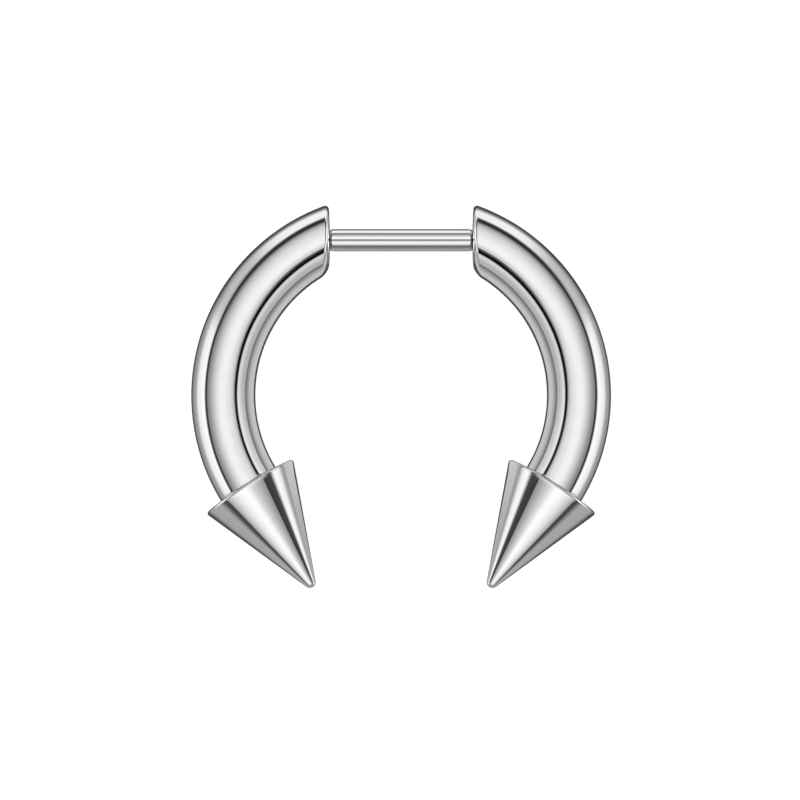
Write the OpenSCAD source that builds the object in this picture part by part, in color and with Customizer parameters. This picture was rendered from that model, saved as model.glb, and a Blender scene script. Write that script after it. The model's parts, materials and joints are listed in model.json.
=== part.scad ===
// Horseshoe barbell: two thick curved arms on a thin straight post, with a screw-on spike on
// the lower end of each arm. It lies on its side, as it rests by itself. Millimetres.

/* [Arms] */
// Thickness of each curved arm
arm_d = 3.45; // [2.4:0.05:4.6]
// Radius of the arc that the middle of an arm follows
arc_r = 9.17; // [7.5:0.01:14]
// Distance of each arm's arc centre from the middle of the piece
arc_shift = 0.39; // [0:0.01:1]
// Angle from the top of the arc down to the end that carries the spike
arc_end = 122.2; // [100:0.1:135]
// Rounding of the edge round the upright cut at the top of an arm
cut_round = 0.3; // [0.05:0.01:0.4]

/* [Post] */
// Diameter of the post that goes through the ear
post_d = 1.2; // [1:0.1:2]
// Length of the post that shows between the arms
post_len = 7.7; // [5:0.1:12]
// Distance of the post below the middle of the upright cut
post_drop = 0.09; // [0:0.01:0.3]
// Length of the rounded shoulder at each end of the post
shoulder_len = 0.26; // [0.05:0.01:0.4]
// Radius of the shoulder's curve
shoulder_round = 0.44; // [0.41:0.01:0.49]
// Diameter of the stud at each end of the post
post_stud_d = 0.84; // [0.6:0.01:0.9]
// Length of the stud at each end of the post
post_stud_len = 1.6; // [0.8:0.1:1.8]

/* [Spikes] */
// Diameter of a spike's base, up to its unrounded rim
spike_d = 5.54; // [4.4:0.01:7]
// Length of a spike, up to the point where its sides would meet
spike_len = 6.95; // [5.5:0.01:10]
// Rounding of the spike's point
tip_round = 0.32; // [0.1:0.01:0.5]
// Rounding of the rim round the spike's base
rim_round = 0.13; // [0.05:0.01:0.3]
// Diameter of the threaded stud on an arm that carries the spike
spike_stud_d = 1.6; // [1.2:0.1:2]
// Length of that stud
spike_stud_len = 2.1; // [1.5:0.1:2.4]

/* [Fits] */
// Clearance all round a stud in its hole
stud_clearance = 0.02; // [0.01:0.01:0.05]
// Depth of a hole beyond the end of its stud
hole_relief = 0.2; // [0.1:0.05:0.3]
// Chamfer at a stud's end and at a hole's mouth
lead_in = 0.12; // [0.05:0.01:0.15]
// Gap between two faces that are screwed together
seat_gap = 0.02; // [0.01:0.01:0.05]

/* [Hidden] */
STEEL = [0.78, 0.78, 0.79];
$fn = 96;

// Small overlap that joins two forms, or takes a cut past a surface
overlap = 0.02;

arm_r = arm_d / 2;

// Upright cut at the top of an arm, measured from the arc's centre, and its height above it
cut_x = post_len / 2 + seat_gap - arc_shift;
cut_top = sqrt(pow(arc_r + arm_r, 2) - pow(cut_x, 2));
cut_bottom = sqrt(pow(arc_r - arm_r, 2) - pow(cut_x, 2));
post_rise = (cut_top + cut_bottom) / 2 - post_drop;

// Lower end of the right arm's middle line, and the direction in which it points there
end_point = [arc_shift + arc_r * sin(arc_end), arc_r * cos(arc_end)];
end_dir = [cos(arc_end), -sin(arc_end)];

// Profile of a spike, with its base on the axis's zero and its point up
spike_taper = atan2(spike_d / 2, spike_len);
rim_centre_r = spike_d / 2 - rim_round / tan((90 - spike_taper) / 2);
tip_centre = spike_len - tip_round / sin(spike_taper);

// Start of a spike's base on the arm's axis
spike_base = end_point + end_dir * seat_gap;

// How the piece lies: on the undersides of the arms' top ends and on the rims of the spikes.
// Where the spikes are wider than the arms, they lift the lower ends by the angle lean.
arm_rest_y = sqrt(pow(arc_r, 2) - pow(cut_x + cut_round, 2));
rim_rest_y = spike_base[1] + end_dir[1] * rim_round;
flat_lift = rim_centre_r + rim_round - arm_r;
flat_lean = asin(flat_lift / (arm_rest_y - rim_rest_y));
// Part of the rim's radius that points down, once the spike leans
rim_share = sqrt(1 - pow(end_dir[1] * sin(flat_lean), 2));
rim_lift = rim_centre_r * rim_share + rim_round - arm_r;
lean = rim_lift > 0 ? asin(rim_lift / (arm_rest_y - rim_rest_y)) : 0;
rest_height = arm_rest_y * sin(lean) + arm_r;

// Middle of the piece from top to tips, as seen from above once it lies
top_y = sqrt(pow(arc_r + arm_r, 2) - pow(cut_x + cut_round, 2)) * cos(lean);
tip_y = (spike_base[1] + end_dir[1] * tip_centre) * cos(lean) - tip_round;
middle_y = (top_y + tip_y) / 2;

// Facets round the rounded edge of the cut, steps across it, and the thickness of each
edge_facets = 64;
edge_steps = 5;
edge_slice = 0.001;
// Keeps the corners of those facets just inside the round bar
edge_inset = 0.004;

// Lays the upright horseshoe on its side, on z = 0
module lay_down()
{
    translate([0, -middle_y, rest_height])
        rotate([-lean, 0, 0])
            children();
}

// Moves a form that is drawn on the Z axis to the lower end of the right arm
module at_arm_end(gap)
{
    start = end_point + end_dir * gap;
    translate([start[0], start[1], 0])
        rotate([0, 0, 90 - arc_end])
            rotate([90, 0, 0])
                children();
}

// Stud with a chamfered end, from z = 0 up
module stud(d, length)
{
    translate([0, 0, -overlap])
        cylinder(d = d, h = length - lead_in + overlap);
    translate([0, 0, length - lead_in])
        cylinder(d1 = d, d2 = d - 2 * lead_in, h = lead_in);
}

// Blind hole for a stud, from z = 0 up, with a chamfered mouth
module stud_hole(d, length)
{
    hole_d = d + 2 * stud_clearance;
    translate([0, 0, -overlap])
        cylinder(d = hole_d, h = length + hole_relief + overlap);
    translate([0, 0, -overlap])
        cylinder(d1 = hole_d + 2 * (lead_in + overlap), d2 = hole_d, h = lead_in + overlap);
}

// Outline that an upright plane cuts out of a bar bent round the Z axis
function bar_section(plane_x, bar_r) =
    [for (i = [0 : edge_facets - 1])
        let (turn = 360 * i / edge_facets)
        [sqrt(pow(arc_r + bar_r * cos(turn), 2) - pow(plane_x, 2)), bar_r * sin(turn)]];

// Thin slice of the rounded edge, where its surface has turned by the given angle
module rounded_edge_slice(turn)
{
    start_x = cut_x + (cut_round - edge_slice) * (1 - sin(turn));
    bar_r = arm_r - edge_inset - cut_round * (1 - cos(turn));
    translate([start_x, 0, 0])
        rotate([90, 0, 90])
            linear_extrude(edge_slice)
                polygon(bar_section(start_x + edge_slice, bar_r));
}

// Curved bar of the right arm about its own arc's centre, with the upright cut at its top
module curved_bar()
{
    reach = 2 * (arc_r + arm_d);
    intersection()
    {
        rotate([0, 0, 90 - arc_end])
            rotate_extrude(angle = arc_end)
                translate([arc_r, 0])
                    circle(arm_r);
        translate([cut_x + cut_round, -reach / 2, -reach / 2])
            cube(reach);
    }
    hull()
        for (i = [0 : edge_steps])
            rounded_edge_slice(90 * i / edge_steps);
}

// Right arm: curved bar, hole for the post in its upright face, stud for the spike
module arm()
{
    difference()
    {
        translate([arc_shift, 0, 0])
            curved_bar();
        translate([post_len / 2 + seat_gap, post_rise, 0])
            rotate([0, 90, 0])
                stud_hole(post_stud_d, post_stud_len);
    }
    at_arm_end(0)
        stud(spike_stud_d, spike_stud_len);
}

// Spike on the Z axis, its base on z = 0
module spike_form()
{
    side = [cos(spike_taper), sin(spike_taper)];
    difference()
    {
        rotate_extrude()
        {
            polygon([
                [0, 0],
                [rim_centre_r, 0],
                [rim_centre_r + rim_round * side[0], rim_round + rim_round * side[1]],
                [tip_round * side[0], tip_centre + tip_round * side[1]],
                [0, tip_centre],
            ]);
            translate([rim_centre_r, rim_round])
                circle(rim_round);
            intersection()
            {
                translate([0, tip_centre])
                    circle(tip_round);
                translate([0, tip_centre - tip_round])
                    square([tip_round, 2 * tip_round]);
            }
        }
        stud_hole(spike_stud_d, spike_stud_len);
    }
}

// Right half of the post, from the middle of the piece out
module half_post()
{
    post_r = post_d / 2;
    half_len = post_len / 2;
    plain_len = half_len - shoulder_len;
    rotate([0, 90, 0])
    {
        rotate_extrude()
        {
            square([post_r, plain_len]);
            square([post_r - shoulder_round, half_len]);
            intersection()
            {
                square([post_r, half_len]);
                translate([post_r - shoulder_round, plain_len])
                    circle(shoulder_round);
            }
        }
        translate([0, 0, half_len])
            stud(post_stud_d, post_stud_len);
    }
}

module right_arm()
{
    color(STEEL)
        lay_down()
            arm();
}

module left_arm()
{
    color(STEEL)
        lay_down()
            mirror([1, 0, 0])
                arm();
}

module post()
{
    color(STEEL)
        lay_down()
            translate([0, post_rise, 0])
            {
                half_post();
                mirror([1, 0, 0])
                    half_post();
            }
}

module right_spike()
{
    color(STEEL)
        lay_down()
            at_arm_end(seat_gap)
                spike_form();
}

module left_spike()
{
    color(STEEL)
        lay_down()
            mirror([1, 0, 0])
                at_arm_end(seat_gap)
                    spike_form();
}

left_arm();
right_arm();
post();
left_spike();
right_spike();
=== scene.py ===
"""Looks of the horseshoe barbell: polished steel arms, post and spikes on a pale floor.

Lengths are in millimetres, in the ring's own plane (x across, y up to the post, z out of the
ring), until a mesh is made. Then they become metres in the frame. The studio's cards stand in
the frame itself: x across, y to the back and z up, also in millimetres.
"""

import json
import math
from collections import namedtuple

import bmesh
import bpy
import numpy as np
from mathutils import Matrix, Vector


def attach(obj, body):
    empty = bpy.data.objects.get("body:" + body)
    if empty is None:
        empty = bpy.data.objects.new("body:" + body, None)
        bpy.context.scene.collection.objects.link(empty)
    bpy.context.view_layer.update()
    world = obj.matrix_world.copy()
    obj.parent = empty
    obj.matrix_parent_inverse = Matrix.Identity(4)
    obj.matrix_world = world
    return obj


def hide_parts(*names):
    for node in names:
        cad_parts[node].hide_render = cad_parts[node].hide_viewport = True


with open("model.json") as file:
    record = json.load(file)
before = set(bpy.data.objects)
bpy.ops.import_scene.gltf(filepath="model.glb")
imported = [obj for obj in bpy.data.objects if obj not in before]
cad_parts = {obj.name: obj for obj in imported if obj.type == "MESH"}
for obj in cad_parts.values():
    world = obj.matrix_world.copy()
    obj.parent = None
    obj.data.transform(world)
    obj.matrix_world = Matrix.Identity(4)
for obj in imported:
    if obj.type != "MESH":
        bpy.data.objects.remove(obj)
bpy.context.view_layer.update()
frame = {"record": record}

MM = 0.001
HALF_TURN = 180  # degrees
X_AXIS = np.array([1.0, 0.0, 0.0])
Y_AXIS = np.array([0.0, 1.0, 0.0])
Z_AXIS = np.array([0.0, 0.0, 1.0])

# Driving sizes, as in the part's source
ARM_D = 3.45
ARC_R = 9.17
ARC_SHIFT = 0.39
POST_LEN = 7.7
POST_DROP = 0.09
POST_STUD_D = 0.84
POST_STUD_LEN = 1.6
SPIKE_D = 5.54
SPIKE_LEN = 6.95
TIP_ROUND = 0.32
RIM_ROUND = 0.13
SPIKE_STUD_D = 1.6
SPIKE_STUD_LEN = 2.1
STUD_CLEARANCE = 0.02
HOLE_RELIEF = 0.2
LEAD_IN = 0.12
SEAT_GAP = 0.02

# Polished bevel round the cut, from the bar to the face: the angle in degrees to which each of
# its arcs turns, the share of the bevel's depth that the arc takes, and its steps. It is a plain
# round edge at the cut's top and bottom.
BEVEL = [(29, 0.08, 4), (33.5, 0.20, 2), (38, 0.04, 2), (44, 0.33, 3), (90, 0.35, 9)]
ROUND_EDGE = [(90, 1.0, 20)]
# Depth of the bevel at the cut's sharp top, its sides and its blunt bottom
BEVEL_TOP, BEVEL_SIDE, BEVEL_BOTTOM = 0.24, 0.205, 0.42
# How far the face curves back by its edge, at its top and its bottom, and the power of the curve
CROWN_TOP, CROWN_BOTTOM, CROWN_POWER = 0.07, 0.05, 6
# Rounding of an arm's lower end
END_ROUND = 0.10

# Shoulder of the post, from the plain part to its end, as arcs in the same way
SHOULDER_LEN = 0.34
SHOULDER = [(5, 0.3, 4), (6, 0.39, 3), (86, 0.31, 8)]

# Threads: the pitch, a stud's depth of thread as a share of it, and the share of that depth
# that a hole's thread has
POST_PITCH = 0.2
SPIKE_PITCH = 0.35
THREAD_DEPTH = 0.6
HOLE_THREAD = 0.5
# A ridge falls off from its middle this steeply, from a height that is cut off at 1. It fades in
# and out over this share of the pitch.
RIDGE_HEIGHT, RIDGE_SLOPE = 1.25, 4.0
THREAD_FADE = 0.6
# Where a thread starts, from a stud's foot or a hole's bottom, and from a hole's lead-in
THREAD_START = 0.05
THREAD_MOUTH = 0.03
# How much wider a stud's foot is than the thread's root, the share of the lead-in by which its
# end is narrower, and the corner at a hole's bottom
STUD_FOOT = 0.03
STUD_TAPER = 0.6
HOLE_CORNER = 0.02

# Columns round each piece, and the bands along its parts
ARM_COLUMNS = 128
SPIKE_COLUMNS = 192
POST_COLUMNS = 96
FACE_BANDS = 12
ARC_BANDS = 200
END_BANDS = 4
BASE_BANDS = 8
ROUND_BANDS = 16
SIDE_BANDS = 32
POST_BANDS = 12
THREAD_BANDS = 10  # in each turn of a thread
EDGE_SHARE = 0.0006  # of the arc, to a ring close to the bevel that keeps its start crisp

# Faces that meet at a larger angle than this, in degrees, have a sharp edge between them
SHARP_ANGLE = 38

# How worn the edges are, from 0 to 1
WORN_STUD_END = 0.5
WORN_LEAD_IN, WORN_MOUTH = 0.3, 0.6
WORN_FACE_EDGE = 0.8
WORN_BEVEL_FROM, WORN_BEVEL_MORE = 0.1, 0.9
WORN_ARM_END = 0.5
WORN_BASE_EDGE, WORN_RIM, WORN_TIP = 0.6, 1.0, 0.7
WORN_SHOULDER = 0.5

# Finishes, in the order of a mesh's material slots
MIRROR, GROUND, THREADED = range(3)

# One closed line of vertices round a piece: its points, the finish of the band that follows
# it, how worn it is, and where each point lies on the straightened bar
Ring = namedtuple("Ring", "points finish wear grain")


class RingPlane:
    """Where the horseshoe's own plane lies in the frame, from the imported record."""

    def __init__(self, record):
        joints = {j["name"]: j for j in record["behaviour"]["joints"]}
        post = next(m for m in record["mounts"] if m["name"] == "post")
        right = Vector(joints["right_spike_slide"]["axis"])
        left = Vector(joints["left_spike_slide"]["axis"])
        self.across = Vector(post["axis"]).normalized()
        self.up = -(right + left).normalized()
        self.out = self.across.cross(self.up)
        self.arc_end = math.atan2(-right.dot(self.up), right.dot(self.across))
        self.post_centre = Vector(post["pos_m"])
        self.post_r = post["dims"]["r_mm"]

    def to_frame(self, points, post_rise):
        """Points of the plane, in millimetres, as points of the frame, in metres."""
        axes = np.array([self.across, self.up, self.out])
        moved = points - np.array([0.0, post_rise, 0.0])
        return np.array(self.post_centre) + moved * MM @ axes


plane = RingPlane(frame["record"])
arm_r = ARM_D / 2
cut_x = POST_LEN / 2 + SEAT_GAP - ARC_SHIFT
cut_top = math.sqrt((ARC_R + arm_r) ** 2 - cut_x**2)
cut_bottom = math.sqrt((ARC_R - arm_r) ** 2 - cut_x**2)
post_rise = (cut_top + cut_bottom) / 2 - POST_DROP
end_dir = np.array([math.cos(plane.arc_end), -math.sin(plane.arc_end), 0.0])
end_out = np.array([math.sin(plane.arc_end), math.cos(plane.arc_end), 0.0])
end_point = end_out * ARC_R + np.array([ARC_SHIFT, 0.0, 0.0])


def around(columns):
    """Angles of a ring's columns."""
    return np.linspace(0, 2 * np.pi, columns, endpoint=False)


def shares(bands):
    """Shares of a part's length at the end of each of its bands."""
    return np.linspace(0, 1, bands + 1)[1:]


def turned(profile, origin, axis, side, columns):
    """Rings of a form turned round an axis. profile holds (radius, height, finish, wear)."""
    turn = around(columns)
    third = np.cross(axis, side)
    if third @ Z_AXIS < 0:
        third = -third
    rings = []
    for radius, height, finish, wear in profile:
        radius = np.broadcast_to(np.asarray(radius, float), turn.shape)
        flat_x, flat_y = radius * np.cos(turn), radius * np.sin(turn)
        points = origin + axis * height + np.outer(flat_x, side) + np.outer(flat_y, third)
        grain = np.stack([np.full_like(turn, height), flat_x, flat_y], 1)
        rings.append(Ring(points, finish, wear, grain))
    return rings


def thread_profile(start, end, pitch, crest_r, root_r, columns):
    """Profile of a thread between two heights. Its ridge fades out at both ends."""
    bands = int(abs(end - start) / pitch * THREAD_BANDS)
    turn = around(columns) / (2 * np.pi)
    profile = []
    for height in np.linspace(start, end, bands + 1):
        phase = (height / pitch - turn) % 1
        ridge = np.clip(RIDGE_HEIGHT - RIDGE_SLOPE * np.abs(phase - 0.5), 0, 1)
        from_end = min(abs(height - start), abs(height - end)) / (THREAD_FADE * pitch)
        fade = min(1.0, from_end)
        smooth = fade * fade * (3 - 2 * fade)
        radius = root_r + (crest_r - root_r) * ridge * smooth
        profile.append((radius, height, THREADED, 0.0))
    return profile


def stud_profile(diameter, length, pitch, columns):
    """A threaded stud from its foot at height 0 to the pole at its end."""
    crest = diameter / 2
    root = crest - THREAD_DEPTH * pitch
    profile = [(root + STUD_FOOT, 0.0, THREADED, 0.0)]
    profile += thread_profile(THREAD_START, length - LEAD_IN, pitch, crest, root, columns)
    profile.append((root - LEAD_IN * STUD_TAPER, length, GROUND, WORN_STUD_END))
    profile.append((0.0, length, GROUND, 0.0))
    return profile


def hole_profile(diameter, length, pitch, columns):
    """A threaded blind hole from the pole at its bottom to its chamfered mouth at height 0."""
    crest = diameter / 2 + STUD_CLEARANCE
    root = crest + THREAD_DEPTH * pitch * HOLE_THREAD
    depth = length + HOLE_RELIEF
    start, end = depth - THREAD_START, LEAD_IN + THREAD_MOUTH
    profile = [(0.0, depth, THREADED, 0.0), (crest, depth - HOLE_CORNER, THREADED, 0.0)]
    profile += thread_profile(start, end, pitch, root, crest, columns)
    profile.append((crest, LEAD_IN, GROUND, WORN_LEAD_IN))
    profile.append((crest + LEAD_IN, 0.0, GROUND, WORN_MOUTH))
    return profile


def arcs(stretches):
    """A chain of arcs from a straight side to an end, one unit along in all: how far along each
    point is, how far in from the side, and how far the surface has turned there."""
    points = [(0.0, 0.0, 0.0)]
    for degrees, share, steps in stretches:
        along, inset, start = points[-1]
        end = math.radians(degrees)
        radius = share / (math.sin(end) - math.sin(start))
        for angle in np.linspace(start, end, steps + 1)[1:]:
            points.append((along + radius * (math.sin(angle) - math.sin(start)),
                           inset + radius * (math.cos(start) - math.cos(angle)), angle))
    return points


def bevel_lines(turn):
    """Lines along the bevel, from the bar to the face: the depth behind the face and the inset of
    each at every angle round the arm, and how far the surface has turned there."""
    ends = (BEVEL_TOP + BEVEL_BOTTOM + (BEVEL_TOP - BEVEL_BOTTOM) * np.cos(turn)) / 2
    sides = np.sin(turn) ** 2
    size = ends + (BEVEL_SIDE - ends) * sides
    lines = []
    for at_sides, at_ends in zip(arcs(BEVEL), arcs(ROUND_EDGE)):
        along, inset, angle = (a * sides + b * (1 - sides) for a, b in zip(at_sides, at_ends))
        lines.append((size * (1 - along), size * inset, float(angle.mean())))
    return lines


def on_cut(turn, inset, depth):
    """Points where a plane parallel to the cut, at a depth behind it, meets a thinner bar. The
    face curves back a little towards the top and the bottom."""
    radius = arm_r - inset
    rise = np.cos(turn)
    crown = np.where(rise > 0, CROWN_TOP, CROWN_BOTTOM) * rise**2
    x = cut_x + depth + crown * (radius / arm_r) ** CROWN_POWER
    y = np.sqrt((ARC_R + radius * np.cos(turn)) ** 2 - x**2)
    return np.stack([x + ARC_SHIFT, y, radius * np.sin(turn)], 1)


def face_rings(turn, mouth, rim_inset):
    """Rings of the cut face, from the points of the hole's mouth out to the bevel."""
    rim = on_cut(turn, rim_inset, 0.0)
    mouth_inset = arm_r - np.hypot(mouth[:, 1] - post_rise, mouth[:, 2])
    rings = []
    for share in shares(FACE_BANDS):
        points = mouth + (rim - mouth) * share
        inset = mouth_inset + (rim_inset - mouth_inset) * share
        points[:, 0] = on_cut(turn, inset, 0.0)[:, 0]
        rings.append(Ring(points, GROUND, 0.0, points))
    rings[-1] = rings[-1]._replace(finish=MIRROR, wear=WORN_FACE_EDGE)
    return rings


def bevel_rings(turn, bevel):
    """Rings of the bevel, from the face to the bar."""
    rings = []
    for depth, inset, angle in bevel[-2::-1]:
        points = on_cut(turn, inset, depth)
        worn = WORN_BEVEL_MORE * math.sin(angle) ** 2 + WORN_BEVEL_FROM
        rings.append(Ring(points, MIRROR, worn, points))
    return rings


def bar_rings(turn, start_x):
    """Rings of the curved bar, from where the bevel leaves off to its lower end."""
    rise, out = arm_r * np.cos(turn), arm_r * np.sin(turn)
    reach = ARC_R + rise
    first = np.arcsin((start_x - ARC_SHIFT) / reach)
    last = plane.arc_end - END_ROUND / ARC_R
    rings = []
    for share in (EDGE_SHARE, *shares(ARC_BANDS)):
        angle = first + (last - first) * share
        x, y = reach * np.sin(angle) + ARC_SHIFT, reach * np.cos(angle)
        points = np.stack([x, y, out], 1)
        grain = np.stack([ARC_R * angle, rise, out], 1)
        rings.append(Ring(points, MIRROR, 0.0, grain))
    return rings


def end_rings():
    """Rings of the arm's rounded lower end, square to its arc, and of the stud on it."""
    profile = []
    for angle in np.linspace(0, math.pi / 2, END_BANDS + 1)[1:]:
        radius = arm_r - END_ROUND * (1 - math.cos(angle))
        height = -END_ROUND * (1 - math.sin(angle))
        profile.append((radius, height, MIRROR, WORN_ARM_END))
    profile[-1] = (profile[-1][0], 0.0, GROUND, WORN_ARM_END)
    profile += stud_profile(SPIKE_STUD_D, SPIKE_STUD_LEN, SPIKE_PITCH, ARM_COLUMNS)
    return turned(profile, end_point, end_dir, end_out, ARM_COLUMNS)


def arm_rings():
    """Rings of the right arm, from the bottom of the post's hole to the end of the stud."""
    turn = around(ARM_COLUMNS)
    bevel = bevel_lines(turn)
    face_centre = np.array([cut_x + ARC_SHIFT, post_rise, 0.0])
    hole = hole_profile(POST_STUD_D, POST_STUD_LEN, POST_PITCH, ARM_COLUMNS)
    rings = turned(hole, face_centre, X_AXIS, Y_AXIS, ARM_COLUMNS)
    rings += face_rings(turn, rings[-1].points, bevel[-1][1])
    rings += bevel_rings(turn, bevel)
    rings += bar_rings(turn, rings[-1].points[:, 0])
    rings += end_rings()
    return rings


def rounded(centre_r, centre_height, radius, start, end, wear):
    """Part of a profile that turns round a centre, from one angle to another."""
    profile = []
    for angle in np.linspace(start, end, ROUND_BANDS + 1)[1:]:
        across, along = radius * math.cos(angle), radius * math.sin(angle)
        profile.append((centre_r + across, centre_height + along, MIRROR, wear))
    return profile


def spike_rings():
    """Rings of the right spike: its hole, flat base, rounded rim, tapered side and point."""
    taper = math.atan2(SPIKE_D / 2, SPIKE_LEN)
    rim_r = SPIKE_D / 2 - RIM_ROUND / math.tan((math.pi / 2 - taper) / 2)
    tip_height = SPIKE_LEN - TIP_ROUND / math.sin(taper)
    profile = hole_profile(SPIKE_STUD_D, SPIKE_STUD_LEN, SPIKE_PITCH, SPIKE_COLUMNS)
    mouth = profile[-1][0]
    for share in shares(BASE_BANDS):
        profile.append((mouth + (rim_r - mouth) * share, 0.0, GROUND, 0.0))
    profile[-1] = (*profile[-1][:2], MIRROR, WORN_BASE_EDGE)
    profile += rounded(rim_r, RIM_ROUND, RIM_ROUND, -math.pi / 2, taper, WORN_RIM)
    start = profile[-1]
    end = (TIP_ROUND * math.cos(taper), tip_height + TIP_ROUND * math.sin(taper))
    for share in shares(SIDE_BANDS):
        radius = start[0] + (end[0] - start[0]) * share
        height = start[1] + (end[1] - start[1]) * share
        profile.append((radius, height, MIRROR, 0.0))
    profile += rounded(0.0, tip_height, TIP_ROUND, taper, math.pi / 2, WORN_TIP)
    base = end_point + end_dir * SEAT_GAP
    return turned(profile, base, end_dir, end_out, SPIKE_COLUMNS)


def post_rings():
    """Rings of the post, from the end of its left stud to the end of its right stud."""
    half = POST_LEN / 2
    plain = half - SHOULDER_LEN
    profile = [(plane.post_r, 0.0, MIRROR, 0.0)]
    profile += [(plane.post_r, plain * share, MIRROR, 0.0) for share in shares(POST_BANDS)]
    for along, inset, _ in arcs(SHOULDER)[1:]:
        radius, height = plane.post_r - SHOULDER_LEN * inset, plain + SHOULDER_LEN * along
        profile.append((radius, height, MIRROR, WORN_SHOULDER))
    profile[-1] = (*profile[-1][:2], GROUND, WORN_SHOULDER)
    stud = stud_profile(POST_STUD_D, POST_STUD_LEN, POST_PITCH, POST_COLUMNS)
    profile += [(radius, half + height, finish, wear) for radius, height, finish, wear in stud]

    # The left half repeats the right one. A band's finish stands on its ring nearer the left.
    left = []
    for (radius, height, _, wear), (_, _, finish, _) in zip(profile[1:], profile[:-1]):
        left.append((radius, -height, finish, wear))
    centre = np.array([0.0, post_rise, 0.0])
    return turned(left[::-1] + profile, centre, X_AXIS, Y_AXIS, POST_COLUMNS)


def joined(values):
    """Values of all rings in one array, with one point for the first and for the last ring."""
    return np.concatenate([values[0][:1], *values[1:-1], values[-1][:1]])


def band_faces(rings):
    """Faces between the rings, and the finish of each."""
    columns = len(rings[0].points)
    faces, finishes = [], []
    for k in range(columns):
        faces.append((0, 1 + k, 1 + (k + 1) % columns))
        finishes.append(rings[0].finish)
    for row, ring in enumerate(rings[1:-2]):
        low, high = 1 + row * columns, 1 + (row + 1) * columns
        for k in range(columns):
            after = (k + 1) % columns
            faces.append((low + k, high + k, high + after, low + after))
            finishes.append(ring.finish)
    low = 1 + (len(rings) - 3) * columns
    pole = low + columns
    for k in range(columns):
        faces.append((low + k, pole, low + (k + 1) % columns))
        finishes.append(rings[-2].finish)
    return faces, finishes


def skin(name, rings, mirrored=False):
    """A closed, smooth mesh over the rings. The first and the last ring shrink to a pole."""
    points = joined([ring.points for ring in rings])
    grain = joined([ring.grain for ring in rings])
    wear = joined([np.full(len(ring.points), ring.wear) for ring in rings])
    if mirrored:
        points = points * np.array([-1.0, 1.0, 1.0])
    faces, finishes = band_faces(rings)
    mesh = bpy.data.meshes.new(name)
    mesh.from_pydata(plane.to_frame(points, post_rise).tolist(), [], faces)
    mesh.polygons.foreach_set("material_index", finishes)
    mesh.polygons.foreach_set("use_smooth", [True] * len(faces))
    add_attribute(mesh, "grain", "FLOAT_VECTOR", "vector", grain)
    add_attribute(mesh, "wear", "FLOAT", "value", wear)
    face_outwards(mesh)
    mesh.set_sharp_from_angle(angle=math.radians(SHARP_ANGLE))
    return add_object(name, mesh)


def add_attribute(mesh, name, kind, field, values):
    """Gives each vertex of a mesh a value of its own, for its material to read."""
    layer = mesh.attributes.new(name, kind, "POINT")
    layer.data.foreach_set(field, np.asarray(values, np.float32).ravel())


def face_outwards(mesh):
    """Turns every face of a closed mesh outwards."""
    work = bmesh.new()
    work.from_mesh(mesh)
    bmesh.ops.recalc_face_normals(work, faces=work.faces)
    work.to_mesh(mesh)
    work.free()


def add_object(name, data):
    """An object of the scene with the given mesh or camera."""
    thing = bpy.data.objects.new(name, data)
    bpy.context.scene.collection.objects.link(thing)
    return thing


class Nodes:
    """Short ways to add and join the nodes of one material or world."""

    def __init__(self, owner):
        owner.use_nodes = True
        self.tree = owner.node_tree
        self.tree.nodes.clear()

    def add(self, kind, **settings):
        """A node with the given settings."""
        node = self.tree.nodes.new(kind)
        for name, value in settings.items():
            setattr(node, name, value)
        return node

    def join(self, source, target):
        """A link between two sockets."""
        self.tree.links.new(source, target)

    def show(self, shader, kind="Material"):
        """Makes a shader the surface of the material or world."""
        output = self.add("ShaderNodeOutput" + kind)
        self.join(shader.outputs[0], output.inputs["Surface"])

    def split(self, vector):
        """The X, Y and Z of a vector."""
        parts = self.add("ShaderNodeSeparateXYZ")
        self.join(vector, parts.inputs["Vector"])
        return parts.outputs

    def place(self):
        """The X, Y and Z of the point that is lit, in metres in the frame."""
        return self.split(self.add("ShaderNodeNewGeometry").outputs["Position"])

    def mixed(self, share, first, second):
        """A value between two others."""
        node = self.add("ShaderNodeMix")
        self.join(share, node.inputs["Factor"])
        self.join(first, node.inputs["A"])
        self.join(second, node.inputs["B"])
        return node.outputs["Result"]

    def math(self, operation, *values):
        """A math node of one to three values, each a socket or a number."""
        node = self.add("ShaderNodeMath", operation=operation)
        for socket, value in zip(node.inputs, values):
            if isinstance(value, (int, float)):
                socket.default_value = value
            else:
                self.join(value, socket)
        return node.outputs[0]

    def noise(self, vector, scale, detail, roughness):
        """Soft noise over a vector."""
        node = self.add("ShaderNodeTexNoise")
        node.inputs["Scale"].default_value = scale
        node.inputs["Detail"].default_value = detail
        node.inputs["Roughness"].default_value = roughness
        self.join(vector, node.inputs["Vector"])
        return node.outputs["Fac"]

    def stretched(self, vector, scale):
        """A vector scaled by another amount along each axis."""
        node = self.add("ShaderNodeMapping")
        node.inputs["Scale"].default_value = scale
        self.join(vector, node.inputs["Vector"])
        return node.outputs["Vector"]

    def ramp(self, value, low, high):
        """A value that goes from 0 to 1 between two values."""
        node = self.add("ShaderNodeMapRange", interpolation_type="SMOOTHSTEP")
        node.inputs["From Min"].default_value = low
        node.inputs["From Max"].default_value = high
        self.join(value, node.inputs["Value"])
        return node.outputs["Result"]

    def bump(self, height, distance, under=None):
        """A relief of the given height, on top of another one if there is one."""
        node = self.add("ShaderNodeBump")
        node.inputs["Distance"].default_value = distance
        self.join(height, node.inputs["Height"])
        if under is not None:
            self.join(under, node.inputs["Normal"])
        return node.outputs["Normal"]


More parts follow.
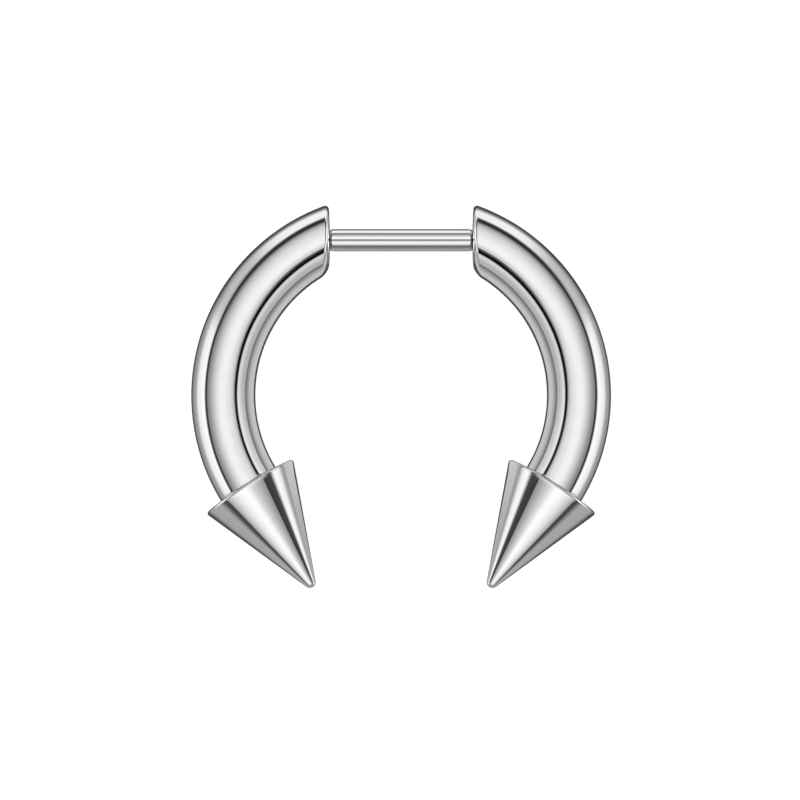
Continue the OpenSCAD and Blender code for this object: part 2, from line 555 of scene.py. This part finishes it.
# Patterns of the steel, in millimetres along the bar and across it. Each has the scale, detail
# and roughness of its noise, and some are stretched. Hairlines show where two of them meet, from
# the first of two values to the second.
CLOUDS = (1.3, 3.0, 0.5)
RIPPLE = (0.55, 1.0, 0.4)
HAIRS = (1.0, 4.0, 0.65)
LONG_HAIRS_STRETCH, LONG_HAIRS_SHOW = (1.2, 26.0, 26.0), (0.56, 0.78)
CROSS_HAIRS_STRETCH, CROSS_HAIRS_SHOW = (30.0, 2.2, 2.2), (0.45, 0.7)
MARKS = (1.0, 2.0, 0.5)
MARKS_STRETCH = (42.0, 0.6, 0.6)
# Darkest and lightest colour, as shares of the tint, and how much clouds and wear lighten it
DARKEST, LIGHTEST = 0.97, 1.05
CLOUDS_LIGHTEN, WEAR_LIGHTENS = 0.8, 0.35
# How much smoother than its own roughness a finish is between the clouds, and how much rougher
# it gets in them, along hairlines and on worn edges
SMOOTHER = 0.02
CLOUDS_ROUGHEN, HAIRS_ROUGHEN, WEAR_ROUGHENS = 0.05, 0.06, 0.05


def steel_colour(nodes, tint, clouds, wear):
    """The tint, a touch lighter where the edges are worn, and slightly uneven all over."""
    colour = nodes.add("ShaderNodeMix", data_type="RGBA")
    colour.inputs["A"].default_value = (*(c * DARKEST for c in tint), 1.0)
    colour.inputs["B"].default_value = (*(min(1.0, c * LIGHTEST) for c in tint), 1.0)
    uneven = nodes.math("ADD", nodes.math("MULTIPLY", clouds, CLOUDS_LIGHTEN),
                        nodes.math("MULTIPLY", wear, WEAR_LIGHTENS))
    nodes.join(uneven, colour.inputs["Factor"])
    return colour.outputs["Result"]


def steel_roughness(nodes, roughness, clouds, hairs, wear):
    """Roughness, higher in the clouds, along hairlines and on worn edges."""
    rough = nodes.math("MULTIPLY_ADD", clouds, CLOUDS_ROUGHEN, roughness - SMOOTHER)
    rough = nodes.math("ADD", rough, nodes.math("MULTIPLY", hairs, HAIRS_ROUGHEN))
    return nodes.math("ADD", rough, nodes.math("MULTIPLY", wear, WEAR_ROUGHENS))


def steel(name, tint, roughness, lines, ripple, scratch):
    """Steel whose finish varies. lines is the depth of its turning marks, ripple that of its
    slow unevenness and scratch that of its fine scratches, all in metres."""
    material = bpy.data.materials.new(name)
    nodes = Nodes(material)
    shader = nodes.add("ShaderNodeBsdfPrincipled")
    shader.inputs["Metallic"].default_value = 1.0
    nodes.show(shader)
    grain = nodes.add("ShaderNodeAttribute", attribute_name="grain").outputs["Vector"]
    wear = nodes.add("ShaderNodeAttribute", attribute_name="wear").outputs["Fac"]

    # Soft clouds left by polishing, fine hairlines, and turning marks round the bar
    clouds = nodes.noise(grain, *CLOUDS)
    long_hairs = nodes.noise(nodes.stretched(grain, LONG_HAIRS_STRETCH), *HAIRS)
    cross_hairs = nodes.noise(nodes.stretched(grain, CROSS_HAIRS_STRETCH), *HAIRS)
    hairs = nodes.math("MULTIPLY", nodes.ramp(long_hairs, *LONG_HAIRS_SHOW),
                       nodes.ramp(cross_hairs, *CROSS_HAIRS_SHOW))
    marks = nodes.noise(nodes.stretched(grain, MARKS_STRETCH), *MARKS)

    nodes.join(steel_colour(nodes, tint, clouds, wear), shader.inputs["Base Color"])
    rough = steel_roughness(nodes, roughness, clouds, hairs, wear)
    nodes.join(rough, shader.inputs["Roughness"])
    normal = nodes.bump(nodes.noise(grain, *RIPPLE), ripple)
    normal = nodes.bump(marks, lines, normal)
    normal = nodes.bump(hairs, scratch, normal)
    nodes.join(normal, shader.inputs["Normal"])
    return material


MIRROR_TINT = (0.585, 0.585, 0.59)
GROUND_TINT = (0.55, 0.55, 0.555)
THREADED_TINT = (0.5, 0.5, 0.505)
FINISHES = [
    steel("mirror_steel", MIRROR_TINT, 0.05, 1.2e-8, 3.0e-6, 1.5e-7),
    steel("ground_steel", GROUND_TINT, 0.2, 4.0e-7, 1.0e-6, 4.0e-7),
    steel("threaded_steel", THREADED_TINT, 0.26, 2.0e-7, 1.0e-6, 4.0e-7),
]


def dress(piece, node, body):
    """Puts a finished mesh in a CAD node's place, with the three finishes."""
    for finish in FINISHES:
        piece.data.materials.append(finish)
    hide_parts(node)
    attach(piece, body)


arm, spike = arm_rings(), spike_rings()
dress(skin("steel_left_arm", arm, mirrored=True), "left_arm", "left_arm_and_post")
dress(skin("steel_right_arm", arm), "right_arm", "right_arm")
dress(skin("steel_left_spike", spike, mirrored=True), "left_spike", "left_spike")
dress(skin("steel_right_spike", spike), "right_spike", "right_spike")
dress(skin("steel_post", post_rings()), "post", "left_arm_and_post")


# Light from the studio, by the angle in degrees from the middle of the panel overhead: the
# panel, the dark gap round it, the wall, and the dark side below the horizon. It differs
# between the two sides, the front, where the spikes point, and the back.
# As in each table of lights here, a stop is where a part of the studio begins, turns or ends.
SIDES = [
    (0, 1.6), (15, 1.5), (45, 0.6), (57, 0.35), (60, 0.05), (65, 0.05), (71, 1.7), (100, 1.4),
    (115, 0.6), (130, 0.5), (150, 0.1),
]
FRONT = [
    (0, 1.6), (20, 1.7), (35, 1.25), (54, 0.6), (57, 0.1), (67, 0.1), (88, 0.65), (130, 0.6),
    (150, 0.1),
]
BACK = [
    (0, 1.6), (20, 1.7), (45, 0.7), (55, 0.05), (68, 0.05), (79, 1.5), (120, 1.5), (140, 0.5),
    (155, 0.1),
]

# The panel is a rounded rectangle, longer from front to back, its middle a little to the front
PANEL_CORNER = 3.0
PANEL_STRETCH = 0.66
PANEL_SHIFT = 0.245
# How far a direction leans to the front or back where that light begins, and where it is full
FRONT_FROM, FRONT_TO = 0.42, 0.60
BACK_FROM, BACK_TO = 0.20, 0.80
# The wall is darker in its corners at the back, by this share, between these sines of the
# angle from the sides, and only beyond the panel's gap, between these angles in degrees
CORNER_SHADE = 0.42
CORNER_FROM, CORNER_FULL, CORNER_FULL_TO, CORNER_TO = 0.36, 0.54, 0.68, 0.86
CORNER_BELOW = (64, 76)
# Least length of a direction's level part, so that straight up isn't divided by nothing
LEAST_LEVEL = 0.001
WHITE = (1.0, 1.0, 1.0, 1.0)


def light_ramp(nodes, share, table, span):
    """Light from a table of places and lights. share is the place as a share of the span."""
    ramp = nodes.add("ShaderNodeValToRGB")
    nodes.join(share, ramp.inputs["Fac"])
    stops = ramp.color_ramp.elements
    while len(stops) < len(table):
        stops.new(1.0)
    peak = max(light for _, light in table)
    for stop, (place, light) in zip(stops, table):
        stop.position = place / span
        stop.color = (*(light / peak,) * 3, 1.0)
    return nodes.math("MULTIPLY", ramp.outputs["Color"], peak)


def panel_angle(nodes, x, y, z):
    """Angle of a direction from the panel's middle, drawn out to the panel's own shape."""
    moved = nodes.math("ADD", y, nodes.math("MULTIPLY", z, PANEL_SHIFT))
    along = nodes.math("ABSOLUTE", nodes.math("MULTIPLY", moved, PANEL_STRETCH))
    across = nodes.math("ABSOLUTE", x)
    corner = nodes.math("ADD", nodes.math("POWER", across, PANEL_CORNER),
                        nodes.math("POWER", along, PANEL_CORNER))
    spread = nodes.math("POWER", corner, 1 / PANEL_CORNER)
    return nodes.math("ARCTAN2", spread, z)


def corner_light(nodes, y, z, angle):
    """Share of the light that is left in the wall's corners at the back."""
    level = nodes.math("SQRT", nodes.math("SUBTRACT", 1.0, nodes.math("MULTIPLY", z, z)))
    backward = nodes.math("DIVIDE", y, nodes.math("MAXIMUM", level, LEAST_LEVEL))
    shade = nodes.math("MULTIPLY", nodes.ramp(backward, CORNER_FROM, CORNER_FULL),
                       nodes.ramp(backward, CORNER_TO, CORNER_FULL_TO))
    low = nodes.ramp(angle, *(math.radians(degrees) for degrees in CORNER_BELOW))
    shade = nodes.math("MULTIPLY", shade, nodes.math("MULTIPLY", low, CORNER_SHADE))
    return nodes.math("SUBTRACT", 1.0, shade)


def make_sky():
    """The studio's soft light, as a world that depends on direction alone."""
    world = bpy.data.worlds.new("studio")
    bpy.context.scene.world = world
    nodes = Nodes(world)
    x, y, z = nodes.split(nodes.add("ShaderNodeTexCoord").outputs["Generated"])
    angle = panel_angle(nodes, x, y, z)
    share = nodes.math("DIVIDE", angle, math.pi)
    light = light_ramp(nodes, share, SIDES, HALF_TURN)
    to_front = nodes.ramp(nodes.math("MULTIPLY", y, -1.0), FRONT_FROM, FRONT_TO)
    light = nodes.mixed(to_front, light, light_ramp(nodes, share, FRONT, HALF_TURN))
    to_back = nodes.ramp(y, BACK_FROM, BACK_TO)
    light = nodes.mixed(to_back, light, light_ramp(nodes, share, BACK, HALF_TURN))
    light = nodes.math("MULTIPLY", light, corner_light(nodes, y, z, angle))
    background = nodes.add("ShaderNodeBackground")
    background.inputs["Color"].default_value = WHITE
    nodes.join(light, background.inputs["Strength"])
    nodes.show(background, "World")


def make_card(name, corners, surface):
    """A card that shows only in reflections, with its surface's nodes made by a function."""
    mesh = bpy.data.meshes.new(name)
    mesh.from_pydata((np.array(corners) * MM).tolist(), [], [tuple(range(len(corners)))])
    card = add_object(name, mesh)
    material = bpy.data.materials.new(name)
    nodes = Nodes(material)
    shader = nodes.add("ShaderNodeEmission")
    surface(nodes, shader)
    nodes.show(shader)
    mesh.materials.append(material)
    material.cycles.emission_sampling = "NONE"
    card.visible_camera = False
    card.visible_diffuse = False
    card.visible_shadow = False


# Two narrow cards stand on edge in the middle of the ring, each where the inner side of one
# arm mirrors it. Their light goes by the angle from straight up at which an arm sees them, from
# a point this far above its middle and this far inside it, as shares of its radius.
CARD_SEEN_ABOVE, CARD_SEEN_INSIDE = 0.92, 0.43
CARD_X = 1.0
CARD_FRONT, CARD_BACK = -0.45, 5.0
CARD_LEAN = 0.137  # to the back, as the mirrored rays lean
CARD_TOP, CARD_FOOT = 20.0, 116.0
CARD = [
    (0, 1.5), (15, 1.5), (36, 0.95), (45, 0), (53, 0), (59, 1.2), (78, 0.75), (88, 0.75),
    (93, 0.2), (98, 0.4), (116, 0.85),
]
# Their light by the same angles where the arms' lower halves mirror them. It takes over from the
# first to the second of these places behind the middle.
CARD_LOW = [
    (0, 1.5), (15, 1.5), (38, 0.95), (46, 0), (52, 0), (58, 1.5), (65, 1.2), (88, 0.9),
    (93, 0.2), (95, 0.2), (101, 0.6), (116, 0.9),
]
CARD_LOW_FROM, CARD_LOW_TO = 0.72, 0.48
# The dark band is wider, by this shade, where the cards face the arms' top ends: from the first
# to the second of these places, and between these angles
CARD_SHADE = 0.8
CARD_SHADE_FROM, CARD_SHADE_TO = 0.7, 1.2
CARD_SHADE_ANGLES = (33, 37, 46, 49)


def middle_card_surface(seen_height, reach):
    """Surface of a middle card, as seen from a height above the floor and a distance."""

    def surface(nodes, shader):
        place = nodes.place()
        height = nodes.math("SUBTRACT", place["Z"], seen_height * MM)
        angle = nodes.math("ARCTAN2", reach * MM, height)
        share = nodes.math("DIVIDE", angle, math.pi)
        light = light_ramp(nodes, share, CARD, HALF_TURN)
        lean = nodes.math("MULTIPLY", height, CARD_LEAN)
        along = nodes.math("SUBTRACT", place["Y"], lean)
        below = nodes.ramp(along, CARD_LOW_FROM * MM, CARD_LOW_TO * MM)
        light = nodes.mixed(below, light, light_ramp(nodes, share, CARD_LOW, HALF_TURN))
        begin, full, full_to, end = (math.radians(degrees) for degrees in CARD_SHADE_ANGLES)
        shade = nodes.ramp(along, CARD_SHADE_FROM * MM, CARD_SHADE_TO * MM)
        shade = nodes.math("MULTIPLY", shade, nodes.ramp(angle, begin, full))
        shade = nodes.math("MULTIPLY", shade, nodes.ramp(angle, end, full_to))
        shade = nodes.math("MULTIPLY", shade, CARD_SHADE)
        light = nodes.math("MULTIPLY", light, nodes.math("SUBTRACT", 1.0, shade))
        nodes.join(light, shader.inputs["Strength"])

    return surface


def make_middle_cards():
    """Cards between the arms, with a dark band across them."""
    seen_height = plane.to_frame(np.zeros((1, 3)), post_rise)[0][2] / MM + arm_r * CARD_SEEN_ABOVE
    reach = ARC_SHIFT + ARC_R - arm_r * CARD_SEEN_INSIDE - CARD_X
    top = reach / math.tan(math.radians(CARD_TOP))
    foot = reach / math.tan(math.radians(CARD_FOOT))
    ends = [(CARD_FRONT, foot), (CARD_BACK, foot), (CARD_BACK, top), (CARD_FRONT, top)]
    for side, x in (("left", -CARD_X), ("right", CARD_X)):
        corners = [(x, y + rise * CARD_LEAN, rise + seen_height) for y, rise in ends]
        make_card(side + "_middle_card", corners, middle_card_surface(seen_height, reach))


# A card stands on edge between the spikes, where the inner side of each mirrors it. Its corners
# are given to the back and up. Its light goes by the angle above level at which a point low in
# front sees it, because each straight line on a spike mirrors a line through that point.
SPIKE_CARD = [
    (-2.4, 1.9), (-3.2, 5.7), (-4.7, 9.5), (-5.86, 11.45), (-11.67, 6.83), (-10.5, 4.2),
    (-10.1, 1.48),
]
SPIKE_CARD_FROM = (-20.1, 0.92)
SPIKE_LIGHT = [
    (0, 0.65), (8, 0.55), (13, 1.45), (19, 1.65), (24, 0.1), (40, 0.05),
]


def spike_card_surface(nodes, shader):
    """Light by the angle above level from the point in front."""
    place = nodes.place()
    along = nodes.math("SUBTRACT", place["Y"], SPIKE_CARD_FROM[0] * MM)
    height = nodes.math("SUBTRACT", place["Z"], SPIKE_CARD_FROM[1] * MM)
    angle = nodes.math("ARCTAN2", height, along)
    span = SPIKE_LIGHT[-1][0]
    share = nodes.math("DIVIDE", angle, math.radians(span))
    nodes.join(light_ramp(nodes, share, SPIKE_LIGHT, span), shader.inputs["Strength"])


def make_spike_card():
    """Card between the spikes, pale in its middle and dark above."""
    make_card("spike_card", [(0.0, y, z) for y, z in SPIKE_CARD], spike_card_surface)


# A pale card lies on the floor inside the ring, where the undersides of arms and spikes mirror
# it. It stays clear of what hangs over it, so that each silhouette mirrors the dark below.
# Its right half from the back to the front, across and along.
LOW_CARD = [
    (0.0, 5.9), (2.4, 5.3), (4.3, 4.0), (5.5, 1.9), (5.9, -0.4), (5.3, -2.4), (3.9, -3.9),
    (2.5, -10.5),
]
LOW_CARD_RISE = 0.05
LOW_CARD_BACK, LOW_CARD_FRONT = 0.88, 0.66
LOW_CARD_FADE = (-7.0, -3.0)


def low_card_surface(nodes, shader):
    """Light that fades a little towards the front."""
    front, back = (edge * MM for edge in LOW_CARD_FADE)
    share = nodes.ramp(nodes.place()["Y"], front, back)
    more = nodes.math("MULTIPLY", share, LOW_CARD_BACK - LOW_CARD_FRONT)
    nodes.join(nodes.math("ADD", more, LOW_CARD_FRONT), shader.inputs["Strength"])


def make_low_card():
    """Pale card inside the ring, a little darker in front."""
    right = [(x, y, LOW_CARD_RISE) for x, y in LOW_CARD]
    left = [(-x, y, z) for x, y, z in right[:0:-1]]
    make_card("low_card", right + left, low_card_surface)


# A narrow card hangs close over the post, between the arms, with a wing down in front of it. The
# post mirrors the dark strip in the card as the fine line along its top. The light of the card
# goes by the place from its front edge to its back, that of the wing from its foot to its top.
POST_CARD_RISE = 0.8
POST_CARD_FRONT = 1.27
POST_CARD_END = 0.01
POST_CARD = [
    (0, 0.2), (0.5, 0.4), (0.9, 1.6), (1.16, 1.3), (1.17, 0.4), (1.33, 0.4), (1.34, 1.8),
    (2, 0.4), (2.54, 0.5),
]
POST_WING = [(0, 0.1), (1.4, 0.65), (2.4, 0.2)]
# A small dark tab lies close over each end of the post, which mirrors it as a dark gap before
# the cut. Where it begins and ends, from the middle, half its width and how high it lies.
POST_TAB_FROM, POST_TAB_TO = 3.755, 3.868
POST_TAB_HALF = 0.45
POST_TAB_RISE = 0.63
POST_TAB_LIGHT = 0.01


def tab_surface(nodes, shader):
    """The same light all over."""
    shader.inputs["Strength"].default_value = POST_TAB_LIGHT


def lit_along(axis, start, table):
    """A surface whose light goes by its place along an axis, from a start."""
    span = table[-1][0]

    def surface(nodes, shader):
        along = nodes.math("SUBTRACT", nodes.place()[axis], start * MM)
        share = nodes.math("DIVIDE", along, span * MM)
        nodes.join(light_ramp(nodes, share, table, span), shader.inputs["Strength"])

    return surface


def make_post_cards():
    """Card over the post, and its wing."""
    x = POST_LEN / 2 + POST_CARD_END
    front = plane.post_centre[1] / MM - POST_CARD_FRONT
    z = plane.post_centre[2] / MM + POST_CARD_RISE
    back, foot = front + POST_CARD[-1][0], z - POST_WING[-1][0]
    over = [(-x, front, z), (x, front, z), (x, back, z), (-x, back, z)]
    make_card("post_card", over, lit_along("Y", front, POST_CARD))
    wing = [(-x, front, foot), (x, front, foot), (x, front, z), (-x, front, z)]
    make_card("post_wing", wing, lit_along("Z", foot, POST_WING))


def make_post_tabs():
    """Tabs at the post's ends."""
    middle, z = plane.post_centre[1] / MM, plane.post_centre[2] / MM + POST_TAB_RISE
    low, high = middle - POST_TAB_HALF, middle + POST_TAB_HALF
    for name, side in (("left", -1), ("right", 1)):
        start, end = side * POST_TAB_FROM, side * POST_TAB_TO
        tab = [(start, low, z), (end, low, z), (end, high, z), (start, high, z)]
        make_card(name + "_post_tab", tab, tab_surface)


# The floor: half its width in metres, its colour, how rough and shiny it is, and its own light
FLOOR_HALF = 1.0
FLOOR_COLOUR = (0.45, 0.45, 0.45, 1.0)
FLOOR_ROUGHNESS = 0.6
FLOOR_SHINE = 0.2
FLOOR_LIGHT = 0.8


def make_floor():
    """A plain pale floor, softly lit from within as a light table is."""
    half = FLOOR_HALF
    mesh = bpy.data.meshes.new("floor")
    corners = [(-half, -half, 0), (half, -half, 0), (half, half, 0), (-half, half, 0)]
    mesh.from_pydata(corners, [], [(0, 1, 2, 3)])
    floor = add_object("floor", mesh)
    material = bpy.data.materials.new("pale_floor")
    nodes = Nodes(material)
    shader = nodes.add("ShaderNodeBsdfPrincipled")
    shader.inputs["Base Color"].default_value = FLOOR_COLOUR
    shader.inputs["Roughness"].default_value = FLOOR_ROUGHNESS
    shader.inputs["Specular IOR Level"].default_value = FLOOR_SHINE
    shader.inputs["Emission Color"].default_value = WHITE
    shader.inputs["Emission Strength"].default_value = FLOOR_LIGHT
    nodes.show(shader)
    mesh.materials.append(material)
    floor.visible_glossy = False


# The photo: its width in pixels, the pixels to a millimetre, and the pixel where the middle of
# the horseshoe lies, between the centres of its two arcs
PHOTO_SIZE = 800
PIXELS_PER_MM = 18.6
MIDDLE_PIXEL = (401.15, 394.9)
CAMERA_DISTANCE = 200.0
SENSOR = 36.0
CLIP_START, CLIP_END = 0.01, 10.0  # metres


def make_camera():
    """A long lens that looks straight down on the horseshoe, with the post at the top."""
    middle = plane.to_frame(np.zeros((1, 3)), post_rise)[0]
    data = bpy.data.cameras.new("camera")
    data.sensor_width = SENSOR
    data.lens = SENSOR * CAMERA_DISTANCE / (PHOTO_SIZE / PIXELS_PER_MM)
    data.clip_start, data.clip_end = CLIP_START, CLIP_END
    camera = add_object("camera", data)
    right = (PHOTO_SIZE / 2 - MIDDLE_PIXEL[0]) / PIXELS_PER_MM
    back = (PHOTO_SIZE / 2 - MIDDLE_PIXEL[1]) / PIXELS_PER_MM
    camera.location = (middle[0] + right * MM, middle[1] - back * MM,
                       middle[2] + CAMERA_DISTANCE * MM)
    bpy.context.scene.camera = camera


make_sky()
make_middle_cards()
make_spike_card()
make_low_card()
make_post_cards()
make_post_tabs()
make_floor()
make_camera()
bpy.context.scene.view_settings.view_transform = "Standard"
